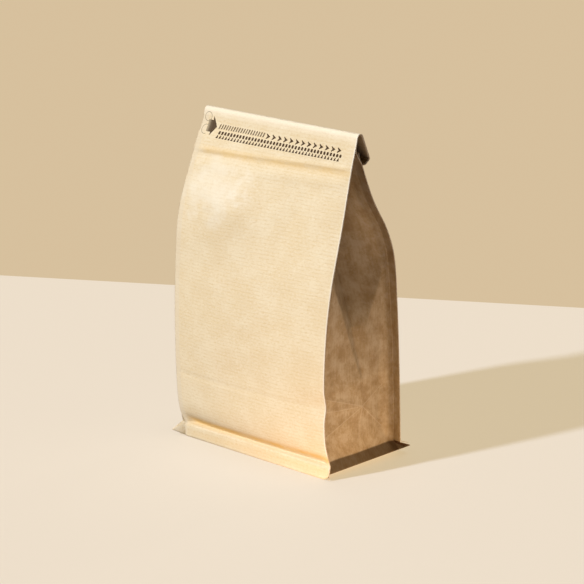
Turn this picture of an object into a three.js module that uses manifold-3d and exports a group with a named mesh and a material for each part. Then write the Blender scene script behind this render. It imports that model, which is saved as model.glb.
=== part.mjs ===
// A shut coffee bag of kraft laminate that stands on its boxed base. It has four upright corner
// seals, a sealed lip round the base, side gussets that fold in towards the top, and a top edge
// that is folded over to the back and hooked under. Millimetres, +Z up, and the front faces -Y.
// While it is shaped, x = 0 is the middle of the front panel and y = 0 the front of the base.

import * as THREE from "three";
import { mergeVertices } from "three/addons/utils/BufferGeometryUtils.js";
import Module from "manifold-3d";

// The bag
const WIDTH = 130;              // front panel, over its corner seals
const SEAL = 6;                 // width of an upright corner seal
const WALL = 0.8;               // thickness of a seal
const BODY_HALF = WIDTH / 2 - SEAL;
const GUSSET = 67.5;            // width of a side gusset between its seals, laid flat

// Upright profiles at the corner seals: pairs of height and distance back from the base's front
const FRONT_EDGE = [[8, 0.6], [28, -4.4], [75, -5], [115, -0.6], [160, 10.6], [192, 18], [211, 22.9]];
const BACK_EDGE = [
  [8, 65.6], [60, 63.6], [105, 60.7], [132, 57.6], [150, 50.8], [170, 38.3], [192, 28.4], [211, 24],
];

// What the beans push out
const FRONT_BULGE = 4.5;
const BACK_BULGE = 5;
const SIDE_BULGE = 1.6;
const BULGE_LOW = 8;            // the panels are straight at this height
const BULGE_HIGH = 196;         // and at this one

// The gusset's inward fold: a crease that opens at the apex and spans the gusset at the shoulder
const FOLD_APEX = 66;
const FOLD_SHOULDER = 128;
const FOLD_CLOSING = 201;       // the fold is pressed shut above this height
const FOLD_SHUT = 207;

// Top edge: stretches of a strip after the body, as pairs of length and turn in degrees
const STRIP_THICKNESS = 1.2;
const STRIP_START = [22.4, 206.7]; // distance back and height, inside the body
const STRIP_LEAN = 14;           // heading at the start, degrees back from upright
const STRIP_STRETCHES = [[4.2, 0], [5.7, 142], [15, 0], [2.6, 84], [3.6, 0]];
const STRIP_STEP = 22;           // largest turn in one step, degrees

// Base
const LIP_TOP = 8.5;            // height of the crease above the lips
const BELLY_ROUND = 9;          // how far the base's flat lies inside its crease
const LIP_CORNER = 6;           // rounding of the front lip's lower corners
const ROOT = 1;                 // how far a lip reaches up into the body
const RIGHT_LIP = 6.2;          // how far each lip reaches down from its crease
const BACK_LIP = 9.5;
const LEFT_LIP = 12;
const RIGHT_SPLAY = 0.45;       // how far each lip leans out for each unit that it drops
const BACK_SPLAY = 2;
const LEFT_SPLAY = 1.33;
const EAR_LONG = 13;            // how far the right lip runs on past the back panel
const EAR_SHORT = 5;            // how far the left lip runs past the front and the back panel

// How finely the surfaces are divided
const FRONT_STEPS = 18;
const GUSSET_STEPS = 14;
const BODY_TOP = 210;
const BODY_LEVELS = 27;
const BELLY_LEVELS = 5;

const radians = THREE.MathUtils.degToRad;
const clamp = THREE.MathUtils.clamp;
const lerp = THREE.MathUtils.lerp;
const smoothstep = THREE.MathUtils.smoothstep;

/** Smooth curve through pairs of height and value, with each slope taken from its neighbours. */
function profile(pairs, height) {
  const last = pairs.length - 1;
  const slope = (i) => {
    const a = pairs[Math.max(i - 1, 0)];
    const b = pairs[Math.min(i + 1, last)];
    return (b[1] - a[1]) / (b[0] - a[0]);
  };
  let i = 0;
  while (i < last - 1 && height > pairs[i + 1][0]) i += 1;
  const [h0, v0] = pairs[i];
  const [h1, v1] = pairs[i + 1];
  const span = h1 - h0;
  const t = clamp((height - h0) / span, 0, 1);
  const t2 = t * t;
  const t3 = t2 * t;
  return v0 * (2 * t3 - 3 * t2 + 1) + slope(i) * span * (t3 - 2 * t2 + t)
    + v1 * (3 * t2 - 2 * t3) + slope(i + 1) * span * (t3 - t2);
}

/** How far the filled part of the bag is pushed out at a height, from 0 to 1. */
function fullness(height) {
  const t = clamp((height - BULGE_LOW) / (BULGE_HIGH - BULGE_LOW), 0, 1);
  return Math.sin(Math.PI * Math.pow(t, 0.55));
}

/** Distance back of the front or the back panel at x and a height. */
function panel(edge, bulge, x, height) {
  const across = 1 - Math.pow(Math.abs(x) / (WIDTH / 2), 2.4);
  return profile(edge, height) + bulge * fullness(height) * across;
}

const frontAt = (x, height) => panel(FRONT_EDGE, -FRONT_BULGE, x, height);
const backAt = (x, height) => panel(BACK_EDGE, BACK_BULGE, x, height);

/** Distance out from the middle of the gusset's surface, at a part 0 to 1 of the way back. */
function gussetAt(part, height) {
  const open = 1 - smoothstep(height, FOLD_CLOSING, FOLD_SHUT);
  const gap = profile(BACK_EDGE, height) - profile(FRONT_EDGE, height);
  const deepest = Math.sqrt(Math.max(GUSSET ** 2 - gap ** 2, 0)) / 2;
  const spread = clamp((height - FOLD_APEX) / (FOLD_SHOULDER - FOLD_APEX), 0.001, 1);
  const fold = deepest * spread * Math.max(0, 1 - Math.abs(part - 0.5) * 2 / spread);
  const swell = SIDE_BULGE * fullness(height) * Math.sin(Math.PI * part) * (1 - spread);
  return lerp(WIDTH / 2, BODY_HALF, open) + (swell - fold) * open;
}

/** One level of the body, anticlockwise from above, starting at the front left seal. */
function bodyRing(height) {
  const ring = [];
  const half = WIDTH / 2;
  for (let i = 0; i <= FRONT_STEPS; i += 1) {
    const x = lerp(-half, half, i / FRONT_STEPS);
    ring.push(new THREE.Vector3(x, frontAt(x, height), height));
  }
  for (const side of [1, -1]) {
    const gap = backAt(half, height) - frontAt(half, height);
    const wall = Math.min(WALL, gap * 0.3);
    const front = frontAt(half, height) + wall;
    const back = backAt(half, height) - wall;
    const gusset = [new THREE.Vector3(side * half, front, height)];
    for (let i = 0; i <= GUSSET_STEPS; i += 1) {
      const part = i / GUSSET_STEPS;
      const x = Math.min(gussetAt(part, height), half - 0.05);
      gusset.push(new THREE.Vector3(side * x, lerp(front, back, part), height));
    }
    gusset.push(new THREE.Vector3(side * half, back, height));
    ring.push(...(side > 0 ? gusset : gusset.reverse()));
    if (side > 0) {
      for (let i = 0; i <= FRONT_STEPS; i += 1) {
        const x = lerp(half, -half, i / FRONT_STEPS);
        ring.push(new THREE.Vector3(x, backAt(x, height), height));
      }
    }
  }
  return ring;
}

/** One level of the rounded underside: the crease's outline, drawn in as it nears the flat. */
function bellyRing(height) {
  const inset = BELLY_ROUND * (1 - Math.sqrt(1 - ((LIP_TOP - height) / LIP_TOP) ** 2));
  const middle = (frontAt(0, LIP_TOP) + backAt(0, LIP_TOP)) / 2;
  const reach = (backAt(0, LIP_TOP) - frontAt(0, LIP_TOP)) / 2 - inset;
  return bodyRing(LIP_TOP).map((point) => {
    const beyond = Math.max(Math.abs(point.x) - BODY_HALF, 0);
    const x = point.x - Math.sign(point.x) * beyond * 0.95;
    const back = (point.y - middle) / (reach + inset);
    return new THREE.Vector3(x * (1 - inset / BODY_HALF), middle + back * reach, height);
  });
}

/** Triangles of a closed skin over rings of equal length, with its two ends filled. */
function skin(rings) {
  const count = rings[0].length;
  const positions = rings.flat().flatMap((point) => [point.x, point.y, point.z]);
  const index = [];
  for (let k = 0; k + 1 < rings.length; k += 1) {
    for (let i = 0; i < count; i += 1) {
      const a = k * count + i;
      const b = k * count + (i + 1) % count;
      index.push(a, b, b + count, a, b + count, a + count);
    }
  }
  const fill = (ring, offset, flip) => {
    const across = ring.across ?? ((point) => point.y);
    const flat = ring.map((point) => new THREE.Vector2(point.x, across(point)));
    for (const [a, b, c] of THREE.ShapeUtils.triangulateShape(flat, [])) {
      index.push(offset + a, offset + (flip ? c : b), offset + (flip ? b : c));
    }
  };
  fill(rings[0], 0, true);
  fill(rings.at(-1), (rings.length - 1) * count, false);
  const geometry = new THREE.BufferGeometry();
  geometry.setAttribute("position", new THREE.Float32BufferAttribute(positions, 3));
  geometry.setIndex(index);
  return geometry;
}

/** The filled body: the rounded underside, then the walls up to the pressed top. */
function body() {
  const rings = [];
  for (let k = 0; k < BELLY_LEVELS; k += 1) {
    rings.push(bellyRing(LIP_TOP * (1 - Math.cos(Math.PI / 2 * k / BELLY_LEVELS))));
  }
  for (let k = 0; k <= BODY_LEVELS; k += 1) {
    const t = k / BODY_LEVELS;
    rings.push(bodyRing(lerp(LIP_TOP, BODY_TOP, t * (0.7 + 0.3 * t))));
  }
  return skin(rings);
}

/** The folded top edge: a flat section carried over the top, down the back and hooked under. */
function topStrip() {
  const rings = [];
  let [back, height] = STRIP_START;
  let heading = radians(STRIP_LEAN);
  const section = () => {
    const ring = [];
    for (const [side, out] of [[-1, 1], [1, 1], [1, -1], [-1, -1]]) {
      const offset = out * STRIP_THICKNESS / 2;
      const y = back - offset * Math.cos(heading);
      const z = height + offset * Math.sin(heading);
      ring.push(new THREE.Vector3(side * WIDTH / 2, y, z));
    }
    const turned = heading;
    ring.across = (point) => point.y * Math.cos(turned) - point.z * Math.sin(turned);
    rings.push(ring);
  };
  section();
  for (const [length, turn] of STRIP_STRETCHES) {
    const steps = Math.max(1, Math.ceil(turn / STRIP_STEP));
    for (let i = 0; i < steps; i += 1) {
      heading += radians(turn) / steps / 2;
      back += Math.sin(heading) * length / steps;
      height += Math.cos(heading) * length / steps;
      heading += radians(turn) / steps / 2;
      section();
    }
  }
  return skin(rings);
}

/** A flat lip: its outline, in along and down from the crease, set at the crease and tipped. */
function lip(outline, origin, along, down) {
  const shape = new THREE.Shape(outline.map(([u, v]) => new THREE.Vector2(u, v)));
  const geometry = new THREE.ExtrudeGeometry(shape, { depth: WALL, bevelEnabled: false });
  const out = new THREE.Vector3().crossVectors(along, down);
  return geometry.applyMatrix4(new THREE.Matrix4().makeBasis(along, down, out).setPosition(origin));
}

/** The quarter turns of the front lip's two lower corners. */
function frontLipOutline(length, drop) {
  const points = [[0, -1], [length, -1]];
  for (const [centre, from] of [[length - LIP_CORNER, 0], [LIP_CORNER, 90]]) {
    for (let angle = from; angle <= from + 90; angle += 18) {
      const turn = radians(angle);
      points.push([centre + LIP_CORNER * Math.cos(turn), drop - LIP_CORNER + LIP_CORNER * Math.sin(turn)]);
    }
  }
  return points;
}

/** The four lips round the base. The side and back lips splay out and end in pointed ears. */
function baseLips() {
  const half = WIDTH / 2;
  const east = new THREE.Vector3(1, 0, 0);
  const north = new THREE.Vector3(0, 1, 0);
  const tipped = (x, y, z) => new THREE.Vector3(x, y, z).normalize();
  const depth = profile(BACK_EDGE, LIP_TOP);
  const start = 1.5 * WALL;
  const front = frontLipOutline(WIDTH, LIP_TOP);
  const right = [[start, -ROOT], [depth, -ROOT], [depth + EAR_LONG, RIGHT_LIP], [start, RIGHT_LIP]];
  const back = [[1, -ROOT], [WIDTH - 1, -ROOT], [WIDTH - 3, BACK_LIP], [3, BACK_LIP]];
  const left = [[start, -ROOT], [depth, -ROOT], [depth + EAR_SHORT, LEFT_LIP],
    [-EAR_SHORT, LEFT_LIP], [start, LEFT_LIP - EAR_SHORT]];
  return [
    lip(front, new THREE.Vector3(-half, WALL / 2, LIP_TOP), east, tipped(0, 0, -1)),
    lip(right, new THREE.Vector3(BODY_HALF - WALL, 0, LIP_TOP), north, tipped(RIGHT_SPLAY, 0, -1)),
    lip(back, new THREE.Vector3(-half, depth - WALL, LIP_TOP + 1), east, tipped(0, BACK_SPLAY, -1)),
    lip(left, new THREE.Vector3(WALL / 2 - BODY_HALF, 0, LIP_TOP + 1), north, tipped(-LEFT_SPLAY, 0, -1)),
  ];
}

const wasm = await Module();
wasm.setup();

/** A closed geometry as a solid of the boolean kernel. */
function toSolid(geometry) {
  geometry.deleteAttribute("normal");
  geometry.deleteAttribute("uv");
  const merged = mergeVertices(geometry, 1e-4);
  return new wasm.Manifold(new wasm.Mesh({
    numProp: 3,
    vertProperties: new Float32Array(merged.attributes.position.array),
    triVerts: new Uint32Array(merged.index.array),
  }));
}

/** A solid of the boolean kernel as a geometry. */
function toGeometry(solid) {
  const { vertProperties, triVerts } = solid.getMesh();
  const geometry = new THREE.BufferGeometry();
  geometry.setAttribute("position", new THREE.Float32BufferAttribute(vertProperties, 3));
  geometry.setIndex(Array.from(triVerts));
  return geometry;
}

/** The whole bag in one piece, standing on z = 0 with the middle of its box over the origin. */
function coffeeBag() {
  const extras = [topStrip(), ...baseLips()];
  const whole = extras.reduce((solid, geometry) => solid.add(toSolid(geometry)), toSolid(body()));
  const geometry = toGeometry(whole);
  geometry.computeBoundingBox();
  const middle = geometry.boundingBox.getCenter(new THREE.Vector3());
  geometry.translate(-middle.x, -middle.y, -geometry.boundingBox.min.z);
  geometry.computeVertexNormals();
  const kraft = new THREE.MeshStandardMaterial({ color: 0xd9bb8c, roughness: 0.75, metalness: 0 });
  const mesh = new THREE.Mesh(geometry, kraft);
  mesh.name = "coffee_bag";
  return mesh;
}

const group = new THREE.Group();
group.add(coffeeBag());
export default group;
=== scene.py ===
"""Coffee bag: a shut, flat-bottomed pouch of ribbed kraft laminate, built as the paper sheets it is made of.

Shapes are worked out in millimetres in the bag's own frame: x = 0 is the middle of the front panel,
y = 0 the front of the base, z = 0 the floor. place() then sets them into the CAD frame in metres.
"""
import math

import bmesh
import bpy
import numpy as np
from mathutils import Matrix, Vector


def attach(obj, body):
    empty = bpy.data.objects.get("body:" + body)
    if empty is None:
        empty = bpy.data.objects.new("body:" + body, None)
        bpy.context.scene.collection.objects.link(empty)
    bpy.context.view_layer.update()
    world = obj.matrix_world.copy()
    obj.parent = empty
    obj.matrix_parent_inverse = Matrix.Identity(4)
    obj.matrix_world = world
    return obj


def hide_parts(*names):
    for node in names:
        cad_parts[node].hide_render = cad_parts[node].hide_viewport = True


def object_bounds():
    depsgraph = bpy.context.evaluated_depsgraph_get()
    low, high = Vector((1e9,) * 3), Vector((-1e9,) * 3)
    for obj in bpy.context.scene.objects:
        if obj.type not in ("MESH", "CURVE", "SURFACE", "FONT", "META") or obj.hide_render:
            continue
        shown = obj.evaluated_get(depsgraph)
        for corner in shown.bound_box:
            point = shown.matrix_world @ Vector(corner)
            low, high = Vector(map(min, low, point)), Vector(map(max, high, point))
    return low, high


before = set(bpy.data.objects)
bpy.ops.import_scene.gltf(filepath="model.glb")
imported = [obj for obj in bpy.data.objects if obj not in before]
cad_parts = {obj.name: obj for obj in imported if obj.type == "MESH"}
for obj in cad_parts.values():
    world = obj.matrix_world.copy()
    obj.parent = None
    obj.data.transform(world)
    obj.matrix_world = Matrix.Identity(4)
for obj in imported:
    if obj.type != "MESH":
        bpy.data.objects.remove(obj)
cad_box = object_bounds()

# The bag's main sizes
WIDTH = 130.0
HALF = WIDTH / 2
SEAL = 6.0                      # width of an upright corner seal
ROOT = HALF - SEAL              # where the gusset leaves its seal
GUSSET = 67.5                   # width of a gusset laid flat
DEPTH = 65.6
LIP_TOP = 8.5                   # height of the crease above the base's lips
EAR_REACH = 13.0                # how far the CAD's rearmost ear runs on past the back of the base

# Upright profiles at the corner seals: height and distance back. The CAD has the right-hand front one
# for its whole width. Here the left edge has its own, and stands further forward in its upper half.
FRONT_RIGHT = [(8, 0.6), (28, -4.4), (75, -5), (115, -0.6), (160, 10.6), (192, 18), (211, 22.9)]
FRONT_LEFT = [(8, 0.6), (28, -3.6), (75, -5.3), (112, -4.3), (150, -0.6), (186, 12.8), (211, 22.6)]
BACK = [(8, 65.6), (60, 63.6), (105, 60.7), (132, 57.6), (150, 50.8), (170, 38.3), (192, 28.4), (207, 23.4)]

FRONT_BULGE = 4.5
BACK_BULGE = 5.0
SIDE_BULGE = 1.6
BULGE_LOW, BULGE_HIGH = 8.0, 196.0
FOLD_APEX, FOLD_SHOULDER = 66.0, 128.0      # a side's swell fades out between these heights

# The gusset's fold: a straight line at the front, a curved one at the back, and an apex below
FOLD_START = (35.5, 55.0)       # back and height of the front line's lower end
FOLD_LEAN = 0.388
FOLD_REAR_LEAN, FOLD_REAR_LOW, FOLD_REAR_HIGH = 0.10, 84.0, 146.0
FOLD_VALLEY = 0.5               # where the valley lies between the two lines
FOLD_LEAST = 7.0                # its full depth is at least this, where the panels stand far apart
FOLD_FOOT, FOLD_RISE = 42.0, 80.0   # it starts at this height, and is full this much higher

# Creases from folding the base: a star low on each gusset, as distance back and height
STAR_CENTRE = (DEPTH * 0.64, 39.0)
STAR_ENDS = [(4.5, 51), (3, 41.5), (3, 22), (37, 12.5), (61, 21.5), (62, 48)]

# Places on the front panel
GROOVE_HEIGHT = 10.2            # the groove over the front lip is deepest at this height
ZIP_HEIGHT, ZIP_TILT = 190.0, 0.035
DENT_HEIGHT = 48.0              # dent in the right edge
LOW_CREASE = 46.0
GLOSSY_MIDDLE = (-36, 164)      # middles of the three creased areas, across and up
RIGHT_MIDDLE = (34, 160)
LOW_MIDDLE = (-8, 58)

# The folded top: a strip's middle line in stretches of length and turn
PANEL_TOP = 206.7
STRIP_START = (22.4, PANEL_TOP)
STRIP_LEAN = math.radians(14)
STRIP_STRETCHES = [(4.2, 0), (5.7, 142), (15.2, 0), (1.3, 74), (4.7, 0), (1.3, 115), (8.0, 0)]

BASE_HEIGHT = 0.05              # the base's flat lies this little over the floor
BELLY_ROUND = 9.0               # how far the flat lies inside the crease

SHEET = 0.28                    # thickness shown for the laminate
GAP = 0.05                      # between two sheets that are sealed together
STRIP_HALF = SHEET + GAP        # from the folded top's middle line to each sheet's outside

# Painted shade on the side sheets, as how much they are darkened: on a seal, on the lips (more on the right,
# which is in shadow, than on the left), and added high up and by the rear seal
SHADE_SEAL, SHADE_RIGHT_LIP, SHADE_LEFT_LIP, SHADE_MORE = 0.35, 0.62, 0.12, 0.22

# Rows and columns of the grids
FRONT_COLUMNS = 131
GUSSET_COLUMNS = 91
SEAL_COLUMNS = 8
LIP_ROWS = 10
STRIP_STEP = 0.6
BASE_COLUMNS = 60               # along the front and the back; half as many along each side
FLAT_RINGS, BELLY_RINGS, BASE_LIP_RINGS = 12, 10, 6
TUCK_ROWS = 20                  # rows of the folded top that are tucked inside the roll
UV_ROW = 60                     # the wall row whose length a gusset's UV map takes


def profile(pairs, height):
    """Smooth curve through pairs of height and value: cubic pieces, slopes taken from the neighbours."""
    h, v = np.array(pairs, float).T
    rise = np.append(v[1:], v[-1]) - np.append(v[0], v[:-1])
    slope = rise / (np.append(h[1:], h[-1]) - np.append(h[0], h[:-1]))
    i = np.clip(np.searchsorted(h, height) - 1, 0, len(h) - 2)
    span = h[i + 1] - h[i]
    t = np.clip((height - h[i]) / span, 0, 1)
    ends = v[i] * (2 * t**3 - 3 * t**2 + 1) + v[i + 1] * (3 * t**2 - 2 * t**3)
    return ends + slope[i] * span * (t**3 - 2 * t**2 + t) + slope[i + 1] * span * (t**3 - t**2)


def smooth(t):
    """Goes from 0 to 1 as t does, level at both ends: 3t squared less 2t cubed."""
    t = np.clip(t, 0, 1)
    return t * t * (3 - 2 * t)


def noise(u, v, seed):
    """Smooth field from -1 to 1: seeded values on a unit lattice, blended by smooth() along u and v."""
    lattice = np.random.default_rng(seed).uniform(-1, 1, (64, 64))
    i, j = np.floor(u).astype(int), np.floor(v).astype(int)
    s, t = smooth(u - i), smooth(v - j)
    near = lattice[i % 64, j % 64] * (1 - s) + lattice[(i + 1) % 64, j % 64] * s
    far = lattice[i % 64, (j + 1) % 64] * (1 - s) + lattice[(i + 1) % 64, (j + 1) % 64] * s
    return near * (1 - t) + far * t


def crease(u, v, start, end, width):
    """1 on the line from start to end, and falling off as a bell of that width on both sides."""
    du, dv = end[0] - start[0], end[1] - start[1]
    t = np.clip(((u - start[0]) * du + (v - start[1]) * dv) / (du * du + dv * dv), 0, 1)
    away = np.hypot(u - start[0] - t * du, v - start[1] - t * dv)
    return np.exp(-(away / width) ** 2)


def fullness(height):
    """How far the filled part is pushed out, 0 to 1: a sine over the height, fullest low down."""
    t = np.clip((height - BULGE_LOW) / (BULGE_HIGH - BULGE_LOW), 0, 1)
    return np.sin(np.pi * t**0.55)


def across(x):
    """1 in the middle of a panel and 0 at its side edges."""
    return 1 - np.abs(np.clip(x / HALF, -1, 1)) ** 2.4


def crumple(x, z, seed, count, reach):
    """Sharp creases: the sum of count slopes, each folded along a line at a seeded angle and offset."""
    random = np.random.default_rng(seed)
    total = np.zeros(np.broadcast(x, z).shape)
    for turn, offset, steep in random.uniform(-1, 1, (count, 3)):
        along = np.cos(turn * math.pi) * x + np.sin(turn * math.pi) * z
        total += steep * np.abs(along - offset * reach)
    return total / count


def bell(value, width):
    """1 where value is 0, falling off on both sides: e to the minus square of value over width."""
    return np.exp(-(value / width) ** 2)


def creased_area(x, z, middle, across_reach, up_reach):
    """1 at an area's middle and fading out round it, with distances across and up from that middle."""
    dx, dz = x - middle[0], z - middle[1]
    return np.exp(-(dx / across_reach) ** 2 - (dz / up_reach) ** 2), dx, dz


def front_relief(x, z):
    """Distance back that creases and wrinkles add to the front panel: bells over the height for the
    groove, zip, dent and low crease, two noise fields for waves, and crumples in three areas."""
    inside = smooth((HALF - np.abs(x)) / 8)
    groove = 3.5 * bell(np.maximum(z - GROOVE_HEIGHT, 0), 4.8) * smooth((z - LIP_TOP) / 1.7) * inside

    # The pressed zip: a ridge, a groove under it that is deeper at the left, and a swell below
    zip_height = ZIP_HEIGHT + ZIP_TILT * x
    left = 0.5 - 0.5 * x / HALF
    zip_ridge = -0.6 * bell(z - zip_height, 1.3) * inside
    zip_groove = (0.35 + 0.6 * left) * bell(z - zip_height + 3.6, 2.4) * inside
    zip_swell = -0.5 * bell(z - zip_height + 9, 3.4) * inside

    dent = 1.9 * bell(z - DENT_HEIGHT, 7) * smooth((x - 30) / 32)
    low_crease = 0.3 * bell(z - LOW_CREASE - 0.02 * x, 1.6) * inside
    waves = 0.3 * noise(x / 34, z / 26, 3) + 0.13 * noise(x / 13, z / 10, 4)

    patch, dx, dz = creased_area(x, z, GLOSSY_MIDDLE, 27, 20)
    folds = 0.8 * crumple(dx, dz, 5, 14, 26) + 0.2 * noise(x / 5, z / 4, 6)
    right, dx, dz = creased_area(x, z, RIGHT_MIDDLE, 22, 26)
    marks = 0.5 * crumple(dx, dz, 8, 8, 22)
    low, dx, dz = creased_area(x, z, LOW_MIDDLE, 40, 22)
    sags = 0.35 * crumple(dx, dz, 9, 8, 30)
    creases = patch * folds + right * marks + low * sags
    return groove + zip_ridge + zip_groove + zip_swell + dent + low_crease + (waves + creases) * inside


def join_strip(back, z, offset):
    """Leads a panel into the folded top: over its last stretch it turns into the strip's first line."""
    line = STRIP_START[0] + (z - PANEL_TOP) * math.tan(STRIP_LEAN) + offset / math.cos(STRIP_LEAN)
    near = smooth((z - PANEL_TOP + 13) / 13)
    return back * (1 - near) + line * near


def front_at(x, z):
    """Distance back of the front panel: the two edge profiles blended across, less the bulge."""
    side = smooth((x / HALF + 1) / 2)
    edge = profile(FRONT_LEFT, z) * (1 - side) + profile(FRONT_RIGHT, z) * side
    return join_strip(edge - FRONT_BULGE * fullness(z) * across(x) + front_relief(x, z), z, -STRIP_HALF)


def back_relief(x, z):
    """Distance back that wrinkles add to the back panel: two noise fields, flat near its edges."""
    inside = smooth((HALF - np.abs(x)) / 9) * smooth((z - 12) / 20)
    waves = 0.5 * noise(x / 30, z / 24, 13) + 0.2 * noise(x / 12, z / 9, 14)
    return waves * inside


def back_at(x, z):
    """Distance back of the back panel: its edge profile and the bulge."""
    back = profile(BACK, z) + BACK_BULGE * fullness(z) * across(x) + back_relief(x, z)
    return join_strip(back, z, STRIP_HALF)


def gusset_relief(y, z, side):
    """Distance out that creases and wrinkles add to a gusset, y back from its front seal: the star's
    ridges, two noise fields for waves, and crumples low down and near the shoulder."""
    ridges = sum(crease(y, z, STAR_CENTRE, end, 0.7) for end in STAR_ENDS)
    inside = smooth(y / 7) * smooth((DEPTH - 1.5 - y) / 7)
    waves = 0.35 * noise(y / 16, z / 24, 23 + side) + 0.16 * noise(y / 7, z / 13, 25 + side)
    folds = 0.5 * crumple(y - 33, z - 50, 27 + side, 9, 26) * np.exp(-((z - 50) / 34) ** 2)
    upper = 0.5 * crumple(y - 30, (z - 150) * 0.35, 29 + side, 8, 12) * np.exp(-((z - 150) / 30) ** 2)
    return (0.22 * np.minimum(ridges, 1) + waves + folds + upper) * inside


def fold_depth(y, z, front, back):
    """How far a gusset is folded in: a groove between two lines that part as they rise.

    The front line is straight, the rear one swings back, and both end at the seals. The valley lies
    midway. Its full depth follows from the gusset's width laid flat: half of that is the long side of
    a right triangle whose short side is half the gap between the panels, and it is taken as FOLD_LEAST
    or more, which keeps the groove's lower end sharp. Low down the depth fades in by smooth()."""
    deepest = np.sqrt(np.maximum(GUSSET**2 - (back - front) ** 2, (2 * FOLD_LEAST) ** 2)) / 2
    line = np.maximum(FOLD_START[0] - FOLD_LEAN * (z - FOLD_START[1]), front)
    low_rear = FOLD_START[0] + FOLD_REAR_LEAN * (z - FOLD_START[1])
    swing = smooth((z - FOLD_REAR_LOW) / (FOLD_REAR_HIGH - FOLD_REAR_LOW))
    rear = low_rear + (back - low_rear) * swing
    along = (y - line) / np.maximum(rear - line, 0.01)
    tent = np.minimum(along / FOLD_VALLEY, (1 - along) / (1 - FOLD_VALLEY))
    tent = np.clip(tent, 0, 1) * smooth((rear - line) / 3)
    return deepest * smooth((z - FOLD_FOOT) / FOLD_RISE) * tent


def gusset_out(part, z, y, front, back, side):
    """Distance out of a gusset's surface: swelled low down, and folded in where the bag narrows."""
    spread = np.clip((z - FOLD_APEX) / (FOLD_SHOULDER - FOLD_APEX), 0, 1)
    swell = SIDE_BULGE * fullness(z) * np.sin(np.pi * part) * (1 - spread)
    return ROOT + swell - fold_depth(y, z, front, back) + gusset_relief(y - front, z, side)


def strip_path(step):
    """Middle line of the folded top: straight and evenly turning stretches laid end to end."""
    counts = [max(2, int(math.ceil(length / step))) for length, _ in STRIP_STRETCHES]
    lengths = np.concatenate([np.full(n, length / n) for n, (length, _) in zip(counts, STRIP_STRETCHES)])
    bends = [np.full(n, math.radians(turn) / n) for n, (_, turn) in zip(counts, STRIP_STRETCHES)]
    turns = np.concatenate(bends)
    ahead = STRIP_LEAN + np.cumsum(turns)
    middle = ahead - turns / 2
    back = STRIP_START[0] + np.append(0, np.cumsum(np.sin(middle) * lengths))
    height = STRIP_START[1] + np.append(0, np.cumsum(np.cos(middle) * lengths))
    return back, height, np.append(STRIP_LEAN, ahead)


def wall_rows(low, high):
    """Heights of a wall's rows: close together near the base and the top, and wider between."""
    near = np.linspace(low, low + 16, 30, endpoint=False)
    middle = np.linspace(low + 16, 178, 120, endpoint=False)
    return np.concatenate([near, middle, np.linspace(178, high, 36)])


# ---------------------------------------------------------------- sheets

def place(points):
    """Bag millimetres to CAD metres: the right seal is the box's right side, the ear its rearmost point."""
    low, high = (np.array(corner) for corner in cad_box)
    origin = np.array([high[0] - HALF / 1000, high[1] - (DEPTH + EAR_REACH) / 1000, low[2]])
    return points / 1000 + origin


def grid_object(name, points, uv, closed=False, shade=None):
    """A mesh over a grid of rows and columns, with a UV map in metres and a shade value at each point."""
    rows, columns = points.shape[:2]
    wrap = columns if closed else columns - 1
    j, i = np.meshgrid(np.arange(rows - 1), np.arange(wrap), indexing="ij")
    a = j * columns + i
    b = j * columns + (i + 1) % columns
    faces = np.stack([a, b, b + columns, a + columns], -1).reshape(-1, 4)
    mesh = bpy.data.meshes.new(name)
    mesh.from_pydata(place(points.reshape(-1, 3)).tolist(), [], faces.tolist())
    layer = mesh.uv_layers.new(name="sheet")
    corner = np.empty(len(mesh.loops), dtype=np.int32)
    mesh.loops.foreach_get("vertex_index", corner)
    layer.data.foreach_set("uv", (uv.reshape(-1, 2)[corner] / 1000).ravel().astype(np.float32))
    values = np.zeros(rows * columns) if shade is None else shade.ravel()
    mesh.attributes.new("shade", "FLOAT", "POINT").data.foreach_set("value", values.astype(np.float32))
    mesh.polygons.foreach_set("use_smooth", np.ones(len(mesh.polygons), dtype=bool))
    piece = bpy.data.objects.new(name, mesh)
    bpy.context.scene.collection.objects.link(piece)
    return piece


def weld(piece):
    """Joins points that lie on each other, so that rings which shrink to a point close there."""
    shape = bmesh.new()
    shape.from_mesh(piece.data)
    bmesh.ops.remove_doubles(shape, verts=shape.verts, dist=1e-6)
    shape.to_mesh(piece.data)
    shape.free()


def thicken(piece):
    """Gives a sheet its thickness inwards and shows its cut edge in the second material."""
    solid = piece.modifiers.new("thickness", "SOLIDIFY")
    solid.thickness = SHEET / 1000
    solid.offset = -1
    solid.use_even_offset = False
    solid.material_offset_rim = 1


def run_length(points):
    """Distance along each column from its first row."""
    steps = np.linalg.norm(np.diff(points, axis=0), axis=2)
    return np.vstack([np.zeros(points.shape[1]), np.cumsum(steps, axis=0)])


def lip_rows(edge, top, count):
    """Rows from a lip's outer edge up to its crease, straight between the two."""
    t = np.linspace(0, 1, count, endpoint=False)[:, None, None]
    return edge[None] * (1 - t) + top[None] * t


def edge_rise(x):
    """Height of the front lip's lower edge: level, and rounded up at the right corner."""
    radius = 6.5
    past = np.clip(x - (HALF - radius), 0, radius)
    return 0.25 + radius - np.sqrt(radius**2 - past**2)


def strip_points(x, side):
    """The folded top as rows of points: the middle line moved out to one side of it.

    The last stretches, tucked up inside the roll, are a little narrower than the rest."""
    back, height, heading = (values[1:] for values in strip_path(STRIP_STEP))
    rows = np.arange(len(back))
    inner = smooth((rows - len(back) + TUCK_ROWS) / 4)[:, None]
    points = np.empty((len(back), len(x), 3))
    points[:, :, 0] = x * (1 - 0.04 * inner)
    points[:, :, 1] = (back - side * STRIP_HALF * np.cos(heading))[:, None]
    points[:, :, 2] = (height + side * STRIP_HALF * np.sin(heading))[:, None]
    return points


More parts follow.
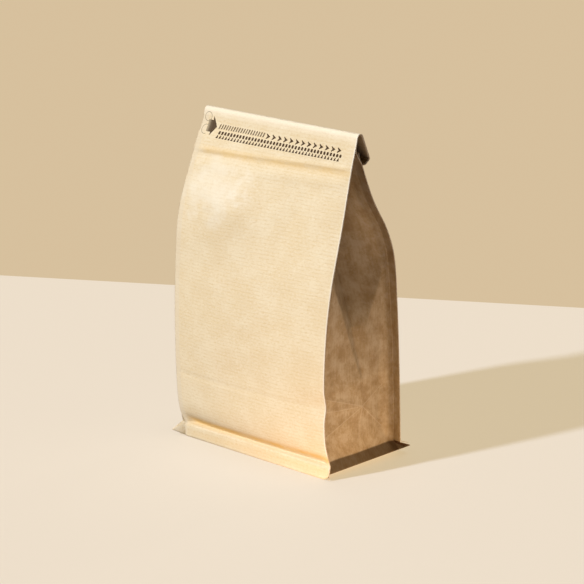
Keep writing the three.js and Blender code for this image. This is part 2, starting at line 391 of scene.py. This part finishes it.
def pinched(points):
    """Draws the left edge in round the base crease, where that corner is folded."""
    x, z = points[..., 0], points[..., 2]
    points[..., 0] = x + 3.0 * np.exp(-(np.maximum(z - LIP_TOP, 0) / 4.5) ** 2) * smooth((-x - 46) / 19)
    return points


def front_points():
    """Front lip, front panel, folded top and the outside of the flap, as one sheet."""
    x = np.linspace(-HALF, HALF, FRONT_COLUMNS)
    edge = np.stack([x, np.full_like(x, 0.1), edge_rise(x)], -1)
    crown = np.stack([x, np.full_like(x, -0.3), np.maximum(edge_rise(x) + 0.5, LIP_TOP - 0.8)], -1)
    z, columns = np.meshgrid(wall_rows(LIP_TOP, PANEL_TOP), x, indexing="ij")
    wall = np.stack([columns, front_at(columns, z), z], -1)
    base = pinched(np.concatenate([lip_rows(edge, crown, LIP_ROWS), crown[None], wall]))
    return np.concatenate([base, strip_points(x, 1)])


def make_front():
    """The front sheet with its UV map: x across, and the length up the sheet's middle."""
    points = front_points()
    length = run_length(points)[:, FRONT_COLUMNS // 2]
    uv = np.stack(np.broadcast_arrays(points[:, :, 0], length[:, None]), -1)
    piece = grid_object("front_sheet", points, uv)
    thicken(piece)
    apex = int(np.argmax(points[:, FRONT_COLUMNS // 2, 2]))
    return piece, points[:, FRONT_COLUMNS // 2], length, apex


def make_back():
    """The back sheet: back lip, back panel and the inside of the folded top."""
    x = np.linspace(HALF, -HALF, FRONT_COLUMNS)
    rise = 5.2 + 1.8 * np.abs(x / HALF) ** 3
    edge = np.stack([x * 0.985, 74.0 - 1.0 * np.cos(np.pi * x / WIDTH), rise], -1)
    low = LIP_TOP + 2
    crown = np.stack([x, profile(BACK, np.full_like(x, low)) + 1.2, np.full_like(x, low - 0.7)], -1)
    z, columns = np.meshgrid(wall_rows(low, PANEL_TOP), x, indexing="ij")
    wall = np.stack([columns, back_at(columns, z), z], -1)
    points = np.concatenate([lip_rows(edge, crown, LIP_ROWS), crown[None], wall, strip_points(x, -1)])
    length = run_length(points)[:, FRONT_COLUMNS // 2]
    uv = np.stack(np.broadcast_arrays(points[:, :, 0], length[:, None]), -1)
    piece = grid_object("back_sheet", points, uv)
    thicken(piece)
    return piece


def lip_edge(side, part, on_seal):
    """The lower edge of a side lip, ears and all: part runs back along it, on_seal out along a seal.

    On the right it starts behind the front lip. On the left the front ear runs on past the corner, and
    the lip is tucked in behind that ear. Both rear ears run on past the back panel."""
    front = (part <= 0) * on_seal
    rear = (part >= 1) * on_seal
    if side > 0:
        out = 62 + 1.0 * part + 2.4 * front + 1.0 * rear
        back = 1.9 + 64.1 * part - 1.6 * front + 10.0 * rear
        rise = 3.0 + 0.9 * part - 2.6 * front + 0.6 * rear
    else:
        tuck = 1 - smooth(part / 0.07)
        out = 68.8 + 0.4 * part - 6.8 * tuck + 8.3 * front - 2.0 * rear
        back = 0.9 + 66.0 * part - 5.2 * front + 9.0 * rear
        rise = 1.8 + 1.6 * part - 1.4 * tuck + 3.0 * front + 1.2 * rear
    return np.stack([side * out, back, rise], -1)


def ear_top(side, on_seal):
    """The upper free edge of a rear ear, sagging from the crease's end out to the ear's tip."""
    rise = 9.3 - 4.2 * on_seal - 1.6 * np.sin(np.pi * on_seal)
    return np.stack([side * (59.6 + 4.6 * on_seal), 64.9 + 10.4 * on_seal, rise], -1)


def make_gusset(side):
    """A side sheet: sealed to the front, folded in, sealed to the back, with its own base lip.

    Columns run from the front seal's edge to the back seal's edge; side is 1 on the right."""
    seal = np.arange(1, SEAL_COLUMNS + 1) / SEAL_COLUMNS
    part = np.concatenate([np.zeros(SEAL_COLUMNS), np.linspace(0, 1, GUSSET_COLUMNS), np.ones(SEAL_COLUMNS)])
    on_seal = np.concatenate([seal[::-1], np.zeros(GUSSET_COLUMNS), seal])
    z, p = np.meshgrid(wall_rows(LIP_TOP + 1, 204.5), part, indexing="ij")
    s = np.broadcast_to(on_seal, z.shape)
    seal_x = side * (ROOT + SEAL * s)
    layer = 2 * SHEET + GAP
    front, back = front_at(seal_x, z), back_at(seal_x, z)
    climb = np.gradient(z, axis=0)
    front = front + layer * np.hypot(1, np.gradient(front, axis=0) / climb)
    back = back - layer * np.hypot(1, np.gradient(back, axis=0) / climb)
    y = front * (1 - p) + back * p
    out = np.where(s > 0, ROOT + SEAL * s, gusset_out(p, z, y, front, back, 0 if side > 0 else 7))
    wall = np.stack([side * out, y, z], -1)
    rear = (part >= 1) & (on_seal > 0)
    top = np.where(rear[:, None], ear_top(side, on_seal), wall[0])
    points = np.concatenate([lip_rows(lip_edge(side, part, on_seal), top, LIP_ROWS), wall])

    # Painted shade: darker on the lip, the seals, beside the rear one and high up, darkest in the pocket
    # over the ear, which is painted near black
    shade = np.zeros(points.shape[:2])
    shade[:, on_seal > 0] = SHADE_SEAL
    shade[:LIP_ROWS] = SHADE_RIGHT_LIP if side > 0 else SHADE_LEFT_LIP
    shade += SHADE_MORE * smooth((points[:, :, 2] - 108) / 50)
    shade += SHADE_MORE * smooth((part - 0.90) / 0.06) * (on_seal <= 0)
    shade[LIP_ROWS - 1:LIP_ROWS + 1, rear] = 1

    # The UV map has the height, and the run back from the front seal's edge along one row of the wall
    run = points[LIP_ROWS + UV_ROW]
    run = np.append(0, np.cumsum(np.linalg.norm(np.diff(run, axis=0), axis=1)))
    uv = np.stack(np.broadcast_arrays(points[:, :, 2], run[None, :]), -1)
    if side < 0:
        points, shade, uv = points[:, ::-1], shade[:, ::-1], uv[:, ::-1]
    piece = grid_object("gusset_right" if side > 0 else "gusset_left", points, uv, shade=shade)
    thicken(piece)
    return piece


def make_base():
    """The base sheet: flat in the middle, rounded up to the crease and down again inside the lips.

    Rings run straight out over the flat, along a quarter turn of sine and cosine up to the crest, and
    straight down to the edge. The lips follow the outer ones, set inside them by a layer, and by more
    where those lean outwards."""
    x = np.linspace(-ROOT + 1.5, ROOT - 1.5, BASE_COLUMNS)
    y = np.linspace(2.5, DEPTH - 1, BASE_COLUMNS // 2)
    one = np.ones_like
    layer = 2 * SHEET + GAP
    right = lip_edge(1, y / DEPTH, 0) + np.array([-1.0, 0, 0.1])
    left = lip_edge(-1, y[::-1] / DEPTH, 0) + np.array([1.0, 0, -0.4])
    left[:, 2] = np.maximum(left[:, 2], 0.1)
    edge = np.concatenate([
        np.stack([x, one(x) * (0.1 + layer + GAP), one(x) * 0.25], -1),
        right,
        np.stack([x[::-1], 74.0 - np.cos(np.pi * x[::-1] / WIDTH) - 2 * layer, one(x) * (5.2 - layer)], -1),
        left])
    crest = np.concatenate([
        np.stack([x, one(x) * 2.6, one(x) * (LIP_TOP - 1)], -1),
        np.stack([one(y) * (ROOT - 0.8), y, one(y) * (LIP_TOP - 0.6)], -1),
        np.stack([x[::-1], one(x) * (DEPTH - 1.2), one(x) * LIP_TOP], -1),
        np.stack([one(y) * (0.8 - ROOT), y[::-1], one(y) * (LIP_TOP - 0.6)], -1)])
    middle = np.array([0, DEPTH / 2, 0])
    reach = np.array([ROOT, DEPTH / 2, 1])
    flat = middle + (crest - middle) * (1 - BELLY_ROUND / reach)
    flat[:, 2] = BASE_HEIGHT
    t = np.linspace(0, np.pi / 2, BELLY_RINGS)[:, None, None]
    rise = flat[None] + (crest - flat)[None] * np.sin(t)
    rise[:, :, 2] = BASE_HEIGHT + (crest[None, :, 2] - BASE_HEIGHT) * (1 - np.cos(t[:, :, 0]))
    outwards = np.linspace(0, 1, FLAT_RINGS, endpoint=False)[:, None, None]
    inner = middle[None] + (flat - middle)[None] * outwards
    inner[:, :, 2] = BASE_HEIGHT
    lips = crest[None] + (edge - crest)[None] * np.linspace(0, 1, BASE_LIP_RINGS)[1:, None, None]
    points = np.concatenate([inner, rise, lips])
    uv = points[:, :, :2]
    piece = grid_object("base_sheet", points, uv, closed=True)
    weld(piece)
    thicken(piece)
    return piece


# ---------------------------------------------------------------- materials

class Recipe:
    """A material made of nodes: each method adds a node and returns its output to build on."""

    def __init__(self, name):
        self.material = bpy.data.materials.new(name)
        self.material.use_nodes = True
        self.tree = self.material.node_tree
        self.shader = self.tree.nodes["Principled BSDF"]

    def node(self, kind, values=(), out=0, **settings):
        """Adds a node, applies its settings and fills its inputs in order, with links or plain values."""
        made = self.tree.nodes.new("ShaderNode" + kind)
        for key, value in settings.items():
            setattr(made, key, value)
        for socket, value in zip(made.inputs, values):
            if isinstance(value, bpy.types.NodeSocket):
                self.tree.links.new(value, socket)
            elif value is not None:
                socket.default_value = value
        return made.outputs[out]

    def calc(self, operation, *values):
        return self.node("Math", values, operation=operation)

    def product(self, *values):
        result = values[0]
        for value in values[1:]:
            result = self.calc("MULTIPLY", result, value)
        return result

    def most(self, *values):
        result = values[0]
        for value in values[1:]:
            result = self.calc("MAXIMUM", result, value)
        return result

    def ramp(self, value, low, high, start=0.0, end=1.0):
        """Smooth step of value from low to high, giving start to end."""
        return self.node("MapRange", (value, low, high, start, end), interpolation_type="SMOOTHSTEP")

    def noise(self, vector, scale, detail=2.0, roughness=0.5):
        return self.node("TexNoise", (vector, None, scale, detail, roughness))

    def stretched(self, vector, factors, shift=(0, 0, 0)):
        """The vector with each axis scaled, so that a pattern on it is drawn out or squeezed."""
        scaled = self.node("VectorMath", (vector, factors), operation="MULTIPLY")
        return self.node("VectorMath", (scaled, shift), operation="ADD")

    def blend(self, factor, first, second):
        """Mix of two colours."""
        values = (factor, None, None, None, None, None, first, second)
        return self.node("Mix", values, out=2, data_type="RGBA")

    def inside(self, value, low, high):
        """1 where value lies between low and high."""
        above = self.calc("GREATER_THAN", value, low)
        return self.product(above, self.calc("LESS_THAN", value, high))

    def finish(self, colour, roughness, height, depth, **values):
        """Links colour, roughness and a bump height in metres, and sets the rest as constants."""
        bump = self.node("Bump", (1.0, depth, None, height))
        for name, link in (("Base Color", colour), ("Roughness", roughness), ("Normal", bump)):
            self.tree.links.new(link, self.shader.inputs[name])
        for name, value in values.items():
            self.shader.inputs[name.replace("_", " ")].default_value = value
        return self.material


# Colours of the kraft paper, as linear light
PAPER = (0.68, 0.555, 0.35, 1)
PAPER_PALE = (0.74, 0.65, 0.47, 1)
PAPER_WARM = (0.58, 0.42, 0.21, 1)
PAPER_FIBRE = (0.42, 0.27, 0.12, 1)
# Warm tint: painted warm shade in the grooves under the zip and over the lip
PAPER_CREASE = (0.66, 0.42, 0.13, 1)
# Painted shade, for the side sheets' shade value and inside the fold
PAPER_PAINTED_SHADE = (0.065, 0.027, 0.002, 1)
PAPER_RIM = (0.90, 0.82, 0.66, 1)
PAPER_SEAL = (0.63, 0.53, 0.38, 1)
# Painted sheen
PAPER_PAINTED_SHEEN = (0.75, 0.68, 0.54, 1)
PAPER_CUT = (0.68, 0.56, 0.38, 1)
INK = (0.050, 0.022, 0.002, 1)

RIB_PITCH = 2.3
# Warm tints along the front, each a height, reach and strength: painted warm shade in the zip groove (188.4)
# and the groove over the lip (13.0), and a warmer band on the lip (4.5)
WARM_TINTS = ((188.4, 4.5, 0.55), (13.0, 6.0, 1.0), (4.5, 4.5, 0.25))   # height, reach and strength


def marks_along(recipe, u, start, end, count):
    """Offset from the nearest of count marks between start and end, and 1 within their stretch."""
    pitch = (end - start) / (count - 1)
    step = recipe.calc("DIVIDE", recipe.calc("SUBTRACT", u, start - pitch / 2), pitch)
    local = recipe.calc("MULTIPLY", recipe.calc("SUBTRACT", recipe.calc("FRACT", step), 0.5), pitch)
    return local, recipe.inside(step, 0, count)


def ring(recipe, u, w, centre, radius, line):
    """A thin circle."""
    du = recipe.calc("SUBTRACT", u, centre[0])
    dw = recipe.calc("SUBTRACT", w, centre[1])
    away = recipe.calc("SQRT", recipe.calc("ADD", recipe.product(du, du), recipe.product(dw, dw)))
    off = recipe.calc("ABSOLUTE", recipe.calc("SUBTRACT", away, radius))
    return recipe.calc("LESS_THAN", off, line / 2)


def tear_print(recipe, u, v, level):
    """The strip printed under the fold: two rows of marks, arrowheads, ticks and a pull arrow.

    level() turns a height on the bag into a length along the sheet; u runs across and v up."""
    def rise(height):
        return recipe.calc("SUBTRACT", v, level(height))

    # Upper row of marks: small slanted pebbles
    w = rise(198.6)
    local, row = marks_along(recipe, u, -47.3, 54.3, 40)
    lean = recipe.calc("SUBTRACT", local, recipe.calc("MULTIPLY", w, 0.1))
    a = recipe.calc("POWER", recipe.calc("ABSOLUTE", recipe.calc("DIVIDE", lean, 0.86)), 3)
    b = recipe.calc("POWER", recipe.calc("ABSOLUTE", recipe.calc("DIVIDE", w, 1.15)), 3)
    pebbles = recipe.product(recipe.calc("LESS_THAN", recipe.calc("ADD", a, b), 1), row)

    # Lower row: drops, widening downwards
    w = rise(196.3)
    local, row = marks_along(recipe, u, -48.1, 52.9, 40)
    lean = recipe.calc("ABSOLUTE", recipe.calc("SUBTRACT", local, recipe.calc("MULTIPLY", w, 0.25)))
    wide = recipe.calc("MULTIPLY", recipe.calc("SUBTRACT", 1.7, w), 0.35)
    drops = recipe.product(recipe.calc("LESS_THAN", lean, wide), recipe.inside(w, -1.05, 1.15), row)

    # Arrowheads, notched behind
    w = rise(201.8)
    local, row = marks_along(recipe, u, -6.6, 52.6, 13)
    side = recipe.calc("ABSOLUTE", w)
    ahead = recipe.calc("SUBTRACT", 1.75, local)
    front = recipe.calc("LESS_THAN", side, recipe.calc("MULTIPLY", ahead, 0.56))
    notch = recipe.calc("GREATER_THAN", side, recipe.calc("MULTIPLY", recipe.calc("ADD", local, 0.75), -1.4))
    heads = recipe.product(front, notch, recipe.calc("GREATER_THAN", local, -1.6), row)

    # Plain slanted ticks in the place before them
    w = rise(202.2)
    local, row = marks_along(recipe, u, -48.6, -10.6, 19)
    lean = recipe.calc("ABSOLUTE", recipe.calc("SUBTRACT", local, recipe.calc("MULTIPLY", w, 0.3)))
    ticks = recipe.product(recipe.calc("LESS_THAN", lean, 0.52), recipe.inside(w, -1.5, 1.5), row)
    ticks = recipe.calc("MULTIPLY", ticks, 0.85)

    # Pull arrow at the left, its tail in bars, with a thin outlined loop
    w = rise(201.6)
    side = recipe.calc("ABSOLUTE", w)
    shaft = recipe.product(recipe.calc("LESS_THAN", side, 3.8), recipe.inside(u, -59.6, -55.5))
    bars = recipe.calc("FRACT", recipe.calc("DIVIDE", recipe.calc("ADD", u, 59.6), 1.0))
    ink = recipe.ramp(u, -59.6, -56.6, 0.6, 0.95)
    shaft = recipe.product(shaft, recipe.most(recipe.calc("GREATER_THAN", bars, 0.38), ink), ink)
    reach = recipe.calc("MULTIPLY", recipe.calc("SUBTRACT", -51.3, u), 1.5)
    head = recipe.product(recipe.calc("LESS_THAN", side, reach), recipe.inside(u, -55.5, -51.3), 0.97)
    upper = ring(recipe, u, v, (-60.4, level(206.9)), 2.9, 0.4)
    lower = ring(recipe, u, v, (-60.3, level(199.3)), 3.0, 0.4)
    lower = recipe.product(lower, recipe.calc("LESS_THAN", u, -58.9))
    outline = recipe.calc("MULTIPLY", recipe.most(upper, lower), 0.6)
    return recipe.most(pebbles, drops, heads, ticks, shaft, head, outline)


def crease_line(recipe, spot, start, end, width):
    """1 where spot is on the line from start to end, fading out over width on both sides."""
    run = (end[0] - start[0], end[1] - start[1], 0)
    square = run[0] ** 2 + run[1] ** 2
    unit = tuple(value / square for value in run)
    off = recipe.node("VectorMath", (spot, (*start, 0)), operation="SUBTRACT")
    share = recipe.node("VectorMath", (off, unit), out=1, operation="DOT_PRODUCT")
    share = recipe.node("Clamp", (share, 0, 1))
    foot = recipe.stretched(run, recipe.node("CombineXYZ", (share, share, share)))
    away = recipe.node("VectorMath", (off, foot), out=1, operation="DISTANCE")
    return recipe.ramp(away, width, 0)


def kraft_paper(name, printed=None, gloss_and_painted_sheen=None, folded=None, worn=False):
    """Ribbed kraft laminate: fine ribs, clouded fibre and specks.

    printed turns heights into lengths up the sheet and adds the tear strip, warm tints along three heights
    (painted warm shade in the zip groove and the groove over the lip, and a warmer lip) and a painted
    highlight round the crest of the fold. glossy is the middle and size of a crumpled patch that is
    glossier and has a painted sheen in its colour. folded is the length up the sheet from which shade is
    painted, inside the fold. worn adds blotches and the pale creases of the folded base, and paints shade
    by the shade value. Without it a highlight is painted along the right edge, and shade is painted on
    the left seal, making it a little greyer."""
    r = Recipe(name)
    uv = r.node("UVMap", uv_map="sheet")
    place_mm = r.node("VectorMath", (uv, (1000, 1000, 1000)), operation="MULTIPLY")
    split = r.tree.nodes.new("ShaderNodeSeparateXYZ")
    r.tree.links.new(place_mm, split.inputs[0])
    u, v = split.outputs[0], split.outputs[1]

    # Paper: clouds of fibre, finer specks, and short fibres lying across
    cloud = r.noise(place_mm, 0.05, 4, 0.6)
    grain = r.noise(r.stretched(place_mm, (1, 1.5, 1)), 0.55, 3, 0.75)
    fibre = r.noise(r.stretched(place_mm, (0.6, 2.6, 1), (7, 3, 0)), 1.7, 2, 0.5)
    wave = r.noise(r.stretched(place_mm, (0.12, 0.3, 1), (31, 11, 0)), 1, 1, 0.5)
    turn = r.calc("ADD", r.calc("MULTIPLY", v, 2 * math.pi / RIB_PITCH), r.calc("MULTIPLY", wave, 1.2))
    rib = r.calc("POWER", r.calc("ADD", 0.5, r.calc("MULTIPLY", r.calc("SINE", turn), 0.5)), 2.5)
    broken = r.ramp(r.noise(r.stretched(place_mm, (0.3, 0.9, 1), (3, 40, 0)), 0.8, 3, 0.7), 0.40, 0.62)
    rib = r.calc("MULTIPLY", rib, r.calc("ADD", 0.1, r.calc("MULTIPLY", broken, 0.9)))

    colour = r.blend(r.ramp(cloud, 0.38, 0.66), PAPER_WARM, PAPER_PALE)
    colour = r.blend(0.8, colour, PAPER)
    colour = r.blend(r.ramp(grain, 0.52, 0.70, 0, 0.6), colour, PAPER_WARM)
    colour = r.blend(r.ramp(grain, 0.48, 0.32, 0, 0.4), colour, PAPER_PALE)
    colour = r.blend(r.ramp(fibre, 0.64, 0.76, 0, 0.4), colour, PAPER_FIBRE)
    colour = r.blend(r.calc("MULTIPLY", rib, 0.42), colour, PAPER_WARM)
    height = r.calc("ADD", r.calc("MULTIPLY", rib, -0.00004), r.calc("MULTIPLY", grain, 0.00007))
    roughness = r.ramp(grain, 0.3, 0.7, 0.5, 0.66)

    # Blotches, pale creases and painted shade (from the shade value) on the side and base sheets; elsewhere
    # a painted highlight on the right edge and painted shade on the left seal
    if worn:
        lines = [crease_line(r, place_mm, turned(STAR_CENTRE), turned(end), 0.5) for end in STAR_ENDS]
        blotch = r.noise(place_mm, 0.11, 4, 0.7)
        colour = r.blend(r.ramp(blotch, 0.44, 0.68, 0, 0.55), colour, PAPER_FIBRE)
        colour = r.blend(r.ramp(blotch, 0.50, 0.34, 0, 0.35), colour, PAPER_RIM)
        pale = r.product(r.most(*lines), r.ramp(fibre, 0.35, 0.6, 0.5, 1), 0.45)
        colour = r.blend(pale, colour, PAPER_RIM)
        colour = r.blend(r.node("Attribute", attribute_name="shade", out=2), colour, PAPER_PAINTED_SHADE)
    else:
        # Painted highlight along the right edge, and painted shade, a little greyer, on the left seal
        colour = r.blend(r.ramp(u, HALF - 1.1, HALF - 0.4, 0, 0.85), colour, PAPER_RIM)
        colour = r.blend(r.ramp(u, 5 - HALF, 4 - HALF, 0, 0.4), colour, PAPER_SEAL)
    # Painted shade inside the fold
    if folded:
        colour = r.blend(r.ramp(v, folded, folded + 5, 0, 0.3), colour, PAPER_PAINTED_SHADE)
    # A crumpled patch: lower roughness, and a painted sheen lightening its colour
    if gloss_and_painted_sheen:
        du = r.calc("DIVIDE", r.calc("SUBTRACT", u, gloss_and_painted_sheen[0]), gloss_and_painted_sheen[2])
        dv = r.calc("DIVIDE", r.calc("SUBTRACT", v, gloss_and_painted_sheen[1]), gloss_and_painted_sheen[3])
        away = r.calc("ADD", r.product(du, du), r.product(dv, dv))
        ragged = r.noise(place_mm, 0.085, 4, 0.7)
        away = r.calc("ADD", away, r.calc("MULTIPLY", r.calc("SUBTRACT", ragged, 0.5), 5.5))
        painted_sheen_and_gloss = r.ramp(away, 1.6, -0.4)
        colour = r.blend(r.calc("MULTIPLY", painted_sheen_and_gloss, 0.5), colour, PAPER_PAINTED_SHEEN)
        roughness = r.calc("SUBTRACT", roughness, r.calc("MULTIPLY", painted_sheen_and_gloss, 0.14))
    if printed:
        # Warm tints along three heights: painted warm shade in the zip groove and the groove over the front
        # lip, and a warmer lip; patchy, and fading out at the left seal
        for crease_height, width, depth in WARM_TINTS:
            slope = r.calc("MULTIPLY", u, 0.02)
            off = r.calc("SUBTRACT", v, r.calc("ADD", slope, printed(crease_height)))
            off = r.calc("ABSOLUTE", off)
            patchy = r.calc("MAXIMUM", r.ramp(cloud, 0.35, 0.6, 0.35, 1), r.ramp(u, 20, -50, 0, 0.9))
            warm_tint = r.product(r.ramp(off, width, 0), patchy, r.ramp(u, -62, -52, 0, depth))
            colour = r.blend(warm_tint, colour, PAPER_CREASE)
        # Painted highlight: paler round the crest of the fold
        top = r.calc("ABSOLUTE", r.calc("SUBTRACT", v, front_length[front_apex]))
        colour = r.blend(r.ramp(top, 9, 0, 0, 0.55), colour, PAPER_RIM)
        ink = tear_print(r, u, v, printed)
        speckled = r.calc("MULTIPLY", ink, r.ramp(grain, 0.78, 0.6, 0.8, 1))
        colour = r.blend(speckled, colour, INK)
    return r.finish(colour, roughness, height, 1.0, IOR=1.45, Specular_IOR_Level=0.28)


def turned(point):
    """Distance back and height on a side sheet, as its UV map has them: height, and run from the edge."""
    return point[1], point[0] + SEAL


def paper_edge():
    """The sheet's cut edge: paler paper, with the fibres showing."""
    r = Recipe("paper_edge")
    place_m = r.node("TexCoord", out=3)
    grain = r.noise(place_m, 1500, 2)
    colour = r.blend(r.ramp(grain, 0.3, 0.7), PAPER_CUT, PAPER_RIM)
    return r.finish(colour, r.ramp(grain, 0, 1, 0.6, 0.8), grain, 0.0001)


front_sheet, front_line, front_length, front_apex = make_front()


def front_level(height):
    """Length along the front sheet's middle, up to a height below the fold."""
    return float(np.interp(height, front_line[:front_apex, 2], front_length[:front_apex]))


finishes = {
    front_sheet: kraft_paper("kraft_front", printed=front_level, gloss_and_painted_sheen=(-38, front_level(168), 27, 22)),
    make_back(): kraft_paper("kraft_back", folded=front_level(202)),
    make_gusset(1): kraft_paper("kraft_side", worn=True),
    make_gusset(-1): bpy.data.materials["kraft_side"],
    make_base(): kraft_paper("kraft_base", worn=True),
}
cut_edge = paper_edge()
for piece, finish in finishes.items():
    piece.data.materials.append(finish)
    piece.data.materials.append(cut_edge)
    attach(piece, "root")
    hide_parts("coffee_bag")

# ---------------------------------------------------------------- floor, light and camera

VIEW_AZIMUTH, VIEW_ELEVATION = math.radians(43.763), math.radians(15.403)
VIEW_DISTANCE = 1513.5
AIM_UP, AIM_RIGHT, AIM_RISE = 105.0, 23.95, 2.91
FOCAL = 151.08

FLOOR_REACH, FLOOR_BACK = 0.9, 0.3595
FLOOR_TURN = math.radians(31.86)
FLOOR_PAINT = (0.29, 0.30, 0.34, 1)
FLOOR_GLOW = (0.57, 0.455, 0.28, 1)     # the floor's own light as the camera sees it
BOUNCE_FROM = (0.13, -0.035, 0)
BOUNCE_CLOSE, BOUNCE_AWAY = (1.7, 1.08, 0.58, 1), (0.055, 0.028, 0.009, 1)
BOUNCE_NEAR, BOUNCE_FAR = 0.02, 0.20
KEY_HEIGHT = 32.5                       # degrees above level
KEY_TURN = (-0.25, 0.968)               # sine and cosine of its turn, which brings it from the front left
BEHIND_HEIGHT = 5
BACKDROP = (0.68, 0.53, 0.34, 1)
AMBIENT = (0.044, 0.023, 0.007, 1)


def make_floor():
    """A plain pale rectangle, turned so that its far edge crosses the view behind the bag.

    Much of its brightness is its own glow, even all over where it is looked at. The glow that lights the
    bag, unseen by the camera, is warmer and strongest close beside the right side: a glow standing in
    for light thrown back off a paper sweep."""
    mesh = bpy.data.meshes.new("floor")
    s, b = FLOOR_REACH, FLOOR_BACK
    cosine, sine = math.cos(FLOOR_TURN), math.sin(FLOOR_TURN)
    plan = ((-s, -s), (s, -s), (s, b), (-s, b))
    corners = [(x * cosine - y * sine, x * sine + y * cosine, 0) for x, y in plan]
    mesh.from_pydata(corners, [], [(0, 1, 2, 3)])
    floor = bpy.data.objects.new("floor", mesh)
    bpy.context.scene.collection.objects.link(floor)
    r = Recipe("floor_paint")
    r.shader.inputs["Base Color"].default_value = FLOOR_PAINT
    r.shader.inputs["Roughness"].default_value = 0.9
    r.shader.inputs["Specular IOR Level"].default_value = 0.1
    away = r.node("VectorMath", (r.node("TexCoord", out=3), BOUNCE_FROM), out=1, operation="DISTANCE")
    near = r.ramp(away, BOUNCE_NEAR, BOUNCE_FAR)
    glow = r.blend(near, BOUNCE_CLOSE, BOUNCE_AWAY)
    glow = r.blend(r.node("LightPath"), glow, FLOOR_GLOW)
    r.tree.links.new(glow, r.shader.inputs["Emission Color"])
    r.shader.inputs["Emission Strength"].default_value = 1.0
    mesh.materials.append(r.material)


def make_camera():
    """The camera looks along the view's azimuth and elevation at a point beside the bag's middle."""
    a, e = VIEW_AZIMUTH, VIEW_ELEVATION
    away = np.array([math.sin(a) * math.cos(e), -math.cos(a) * math.cos(e), math.sin(e)])
    right = np.array([math.cos(a), math.sin(a), 0])
    up = np.cross(away, right)
    aim = np.array([0, 0, AIM_UP]) + AIM_RIGHT * right + AIM_RISE * up
    data = bpy.data.cameras.new("camera")
    data.lens = FOCAL
    data.sensor_width = 36
    data.clip_end = 20
    camera = bpy.data.objects.new("camera", data)
    bpy.context.scene.collection.objects.link(camera)
    camera.location = place(aim + VIEW_DISTANCE * away)
    camera.rotation_euler = (math.pi / 2 - e, 0, a)
    bpy.context.scene.camera = camera


def make_sun(name, strength, colour, softness, turn):
    """A sun lamp; strength is what a white surface facing it would shine with."""
    sun = bpy.data.lights.new(name, "SUN")
    sun.energy = strength * math.pi
    sun.color = colour
    sun.angle = math.radians(softness)
    lamp = bpy.data.objects.new(name, sun)
    bpy.context.scene.collection.objects.link(lamp)
    lamp.rotation_euler = turn


def make_light():
    """A sun from the front left, soft light from above and low from behind, and a warm dim surround."""
    key_turn = (math.radians(90 - KEY_HEIGHT), 0, math.atan2(*KEY_TURN))
    behind_turn = (math.radians(BEHIND_HEIGHT - 90), 0, 0)
    make_sun("key", 1.27, (0.98, 1.0, 1.06), 3, key_turn)
    make_sun("top", 0.22, (1.0, 0.93, 0.80), 25, (0, 0, 0))
    make_sun("behind", 0.26, (1.0, 0.80, 0.58), 8, behind_turn)
    world = bpy.data.worlds.new("studio")
    bpy.context.scene.world = world
    world.use_nodes = True
    tree = world.node_tree
    surround = tree.nodes["Background"]
    surround.inputs["Color"].default_value = AMBIENT
    backdrop = tree.nodes.new("ShaderNodeBackground")
    backdrop.inputs["Color"].default_value = BACKDROP
    rays = tree.nodes.new("ShaderNodeLightPath")
    mix = tree.nodes.new("ShaderNodeMixShader")
    for source, target in (
            (rays.outputs["Is Camera Ray"], mix.inputs[0]),
            (surround.outputs[0], mix.inputs[1]),
            (backdrop.outputs[0], mix.inputs[2]),
            (mix.outputs[0], tree.nodes["World Output"].inputs["Surface"])):
        tree.links.new(source, target)
    bpy.context.scene.view_settings.view_transform = "Standard"


make_floor()
make_camera()
make_light()
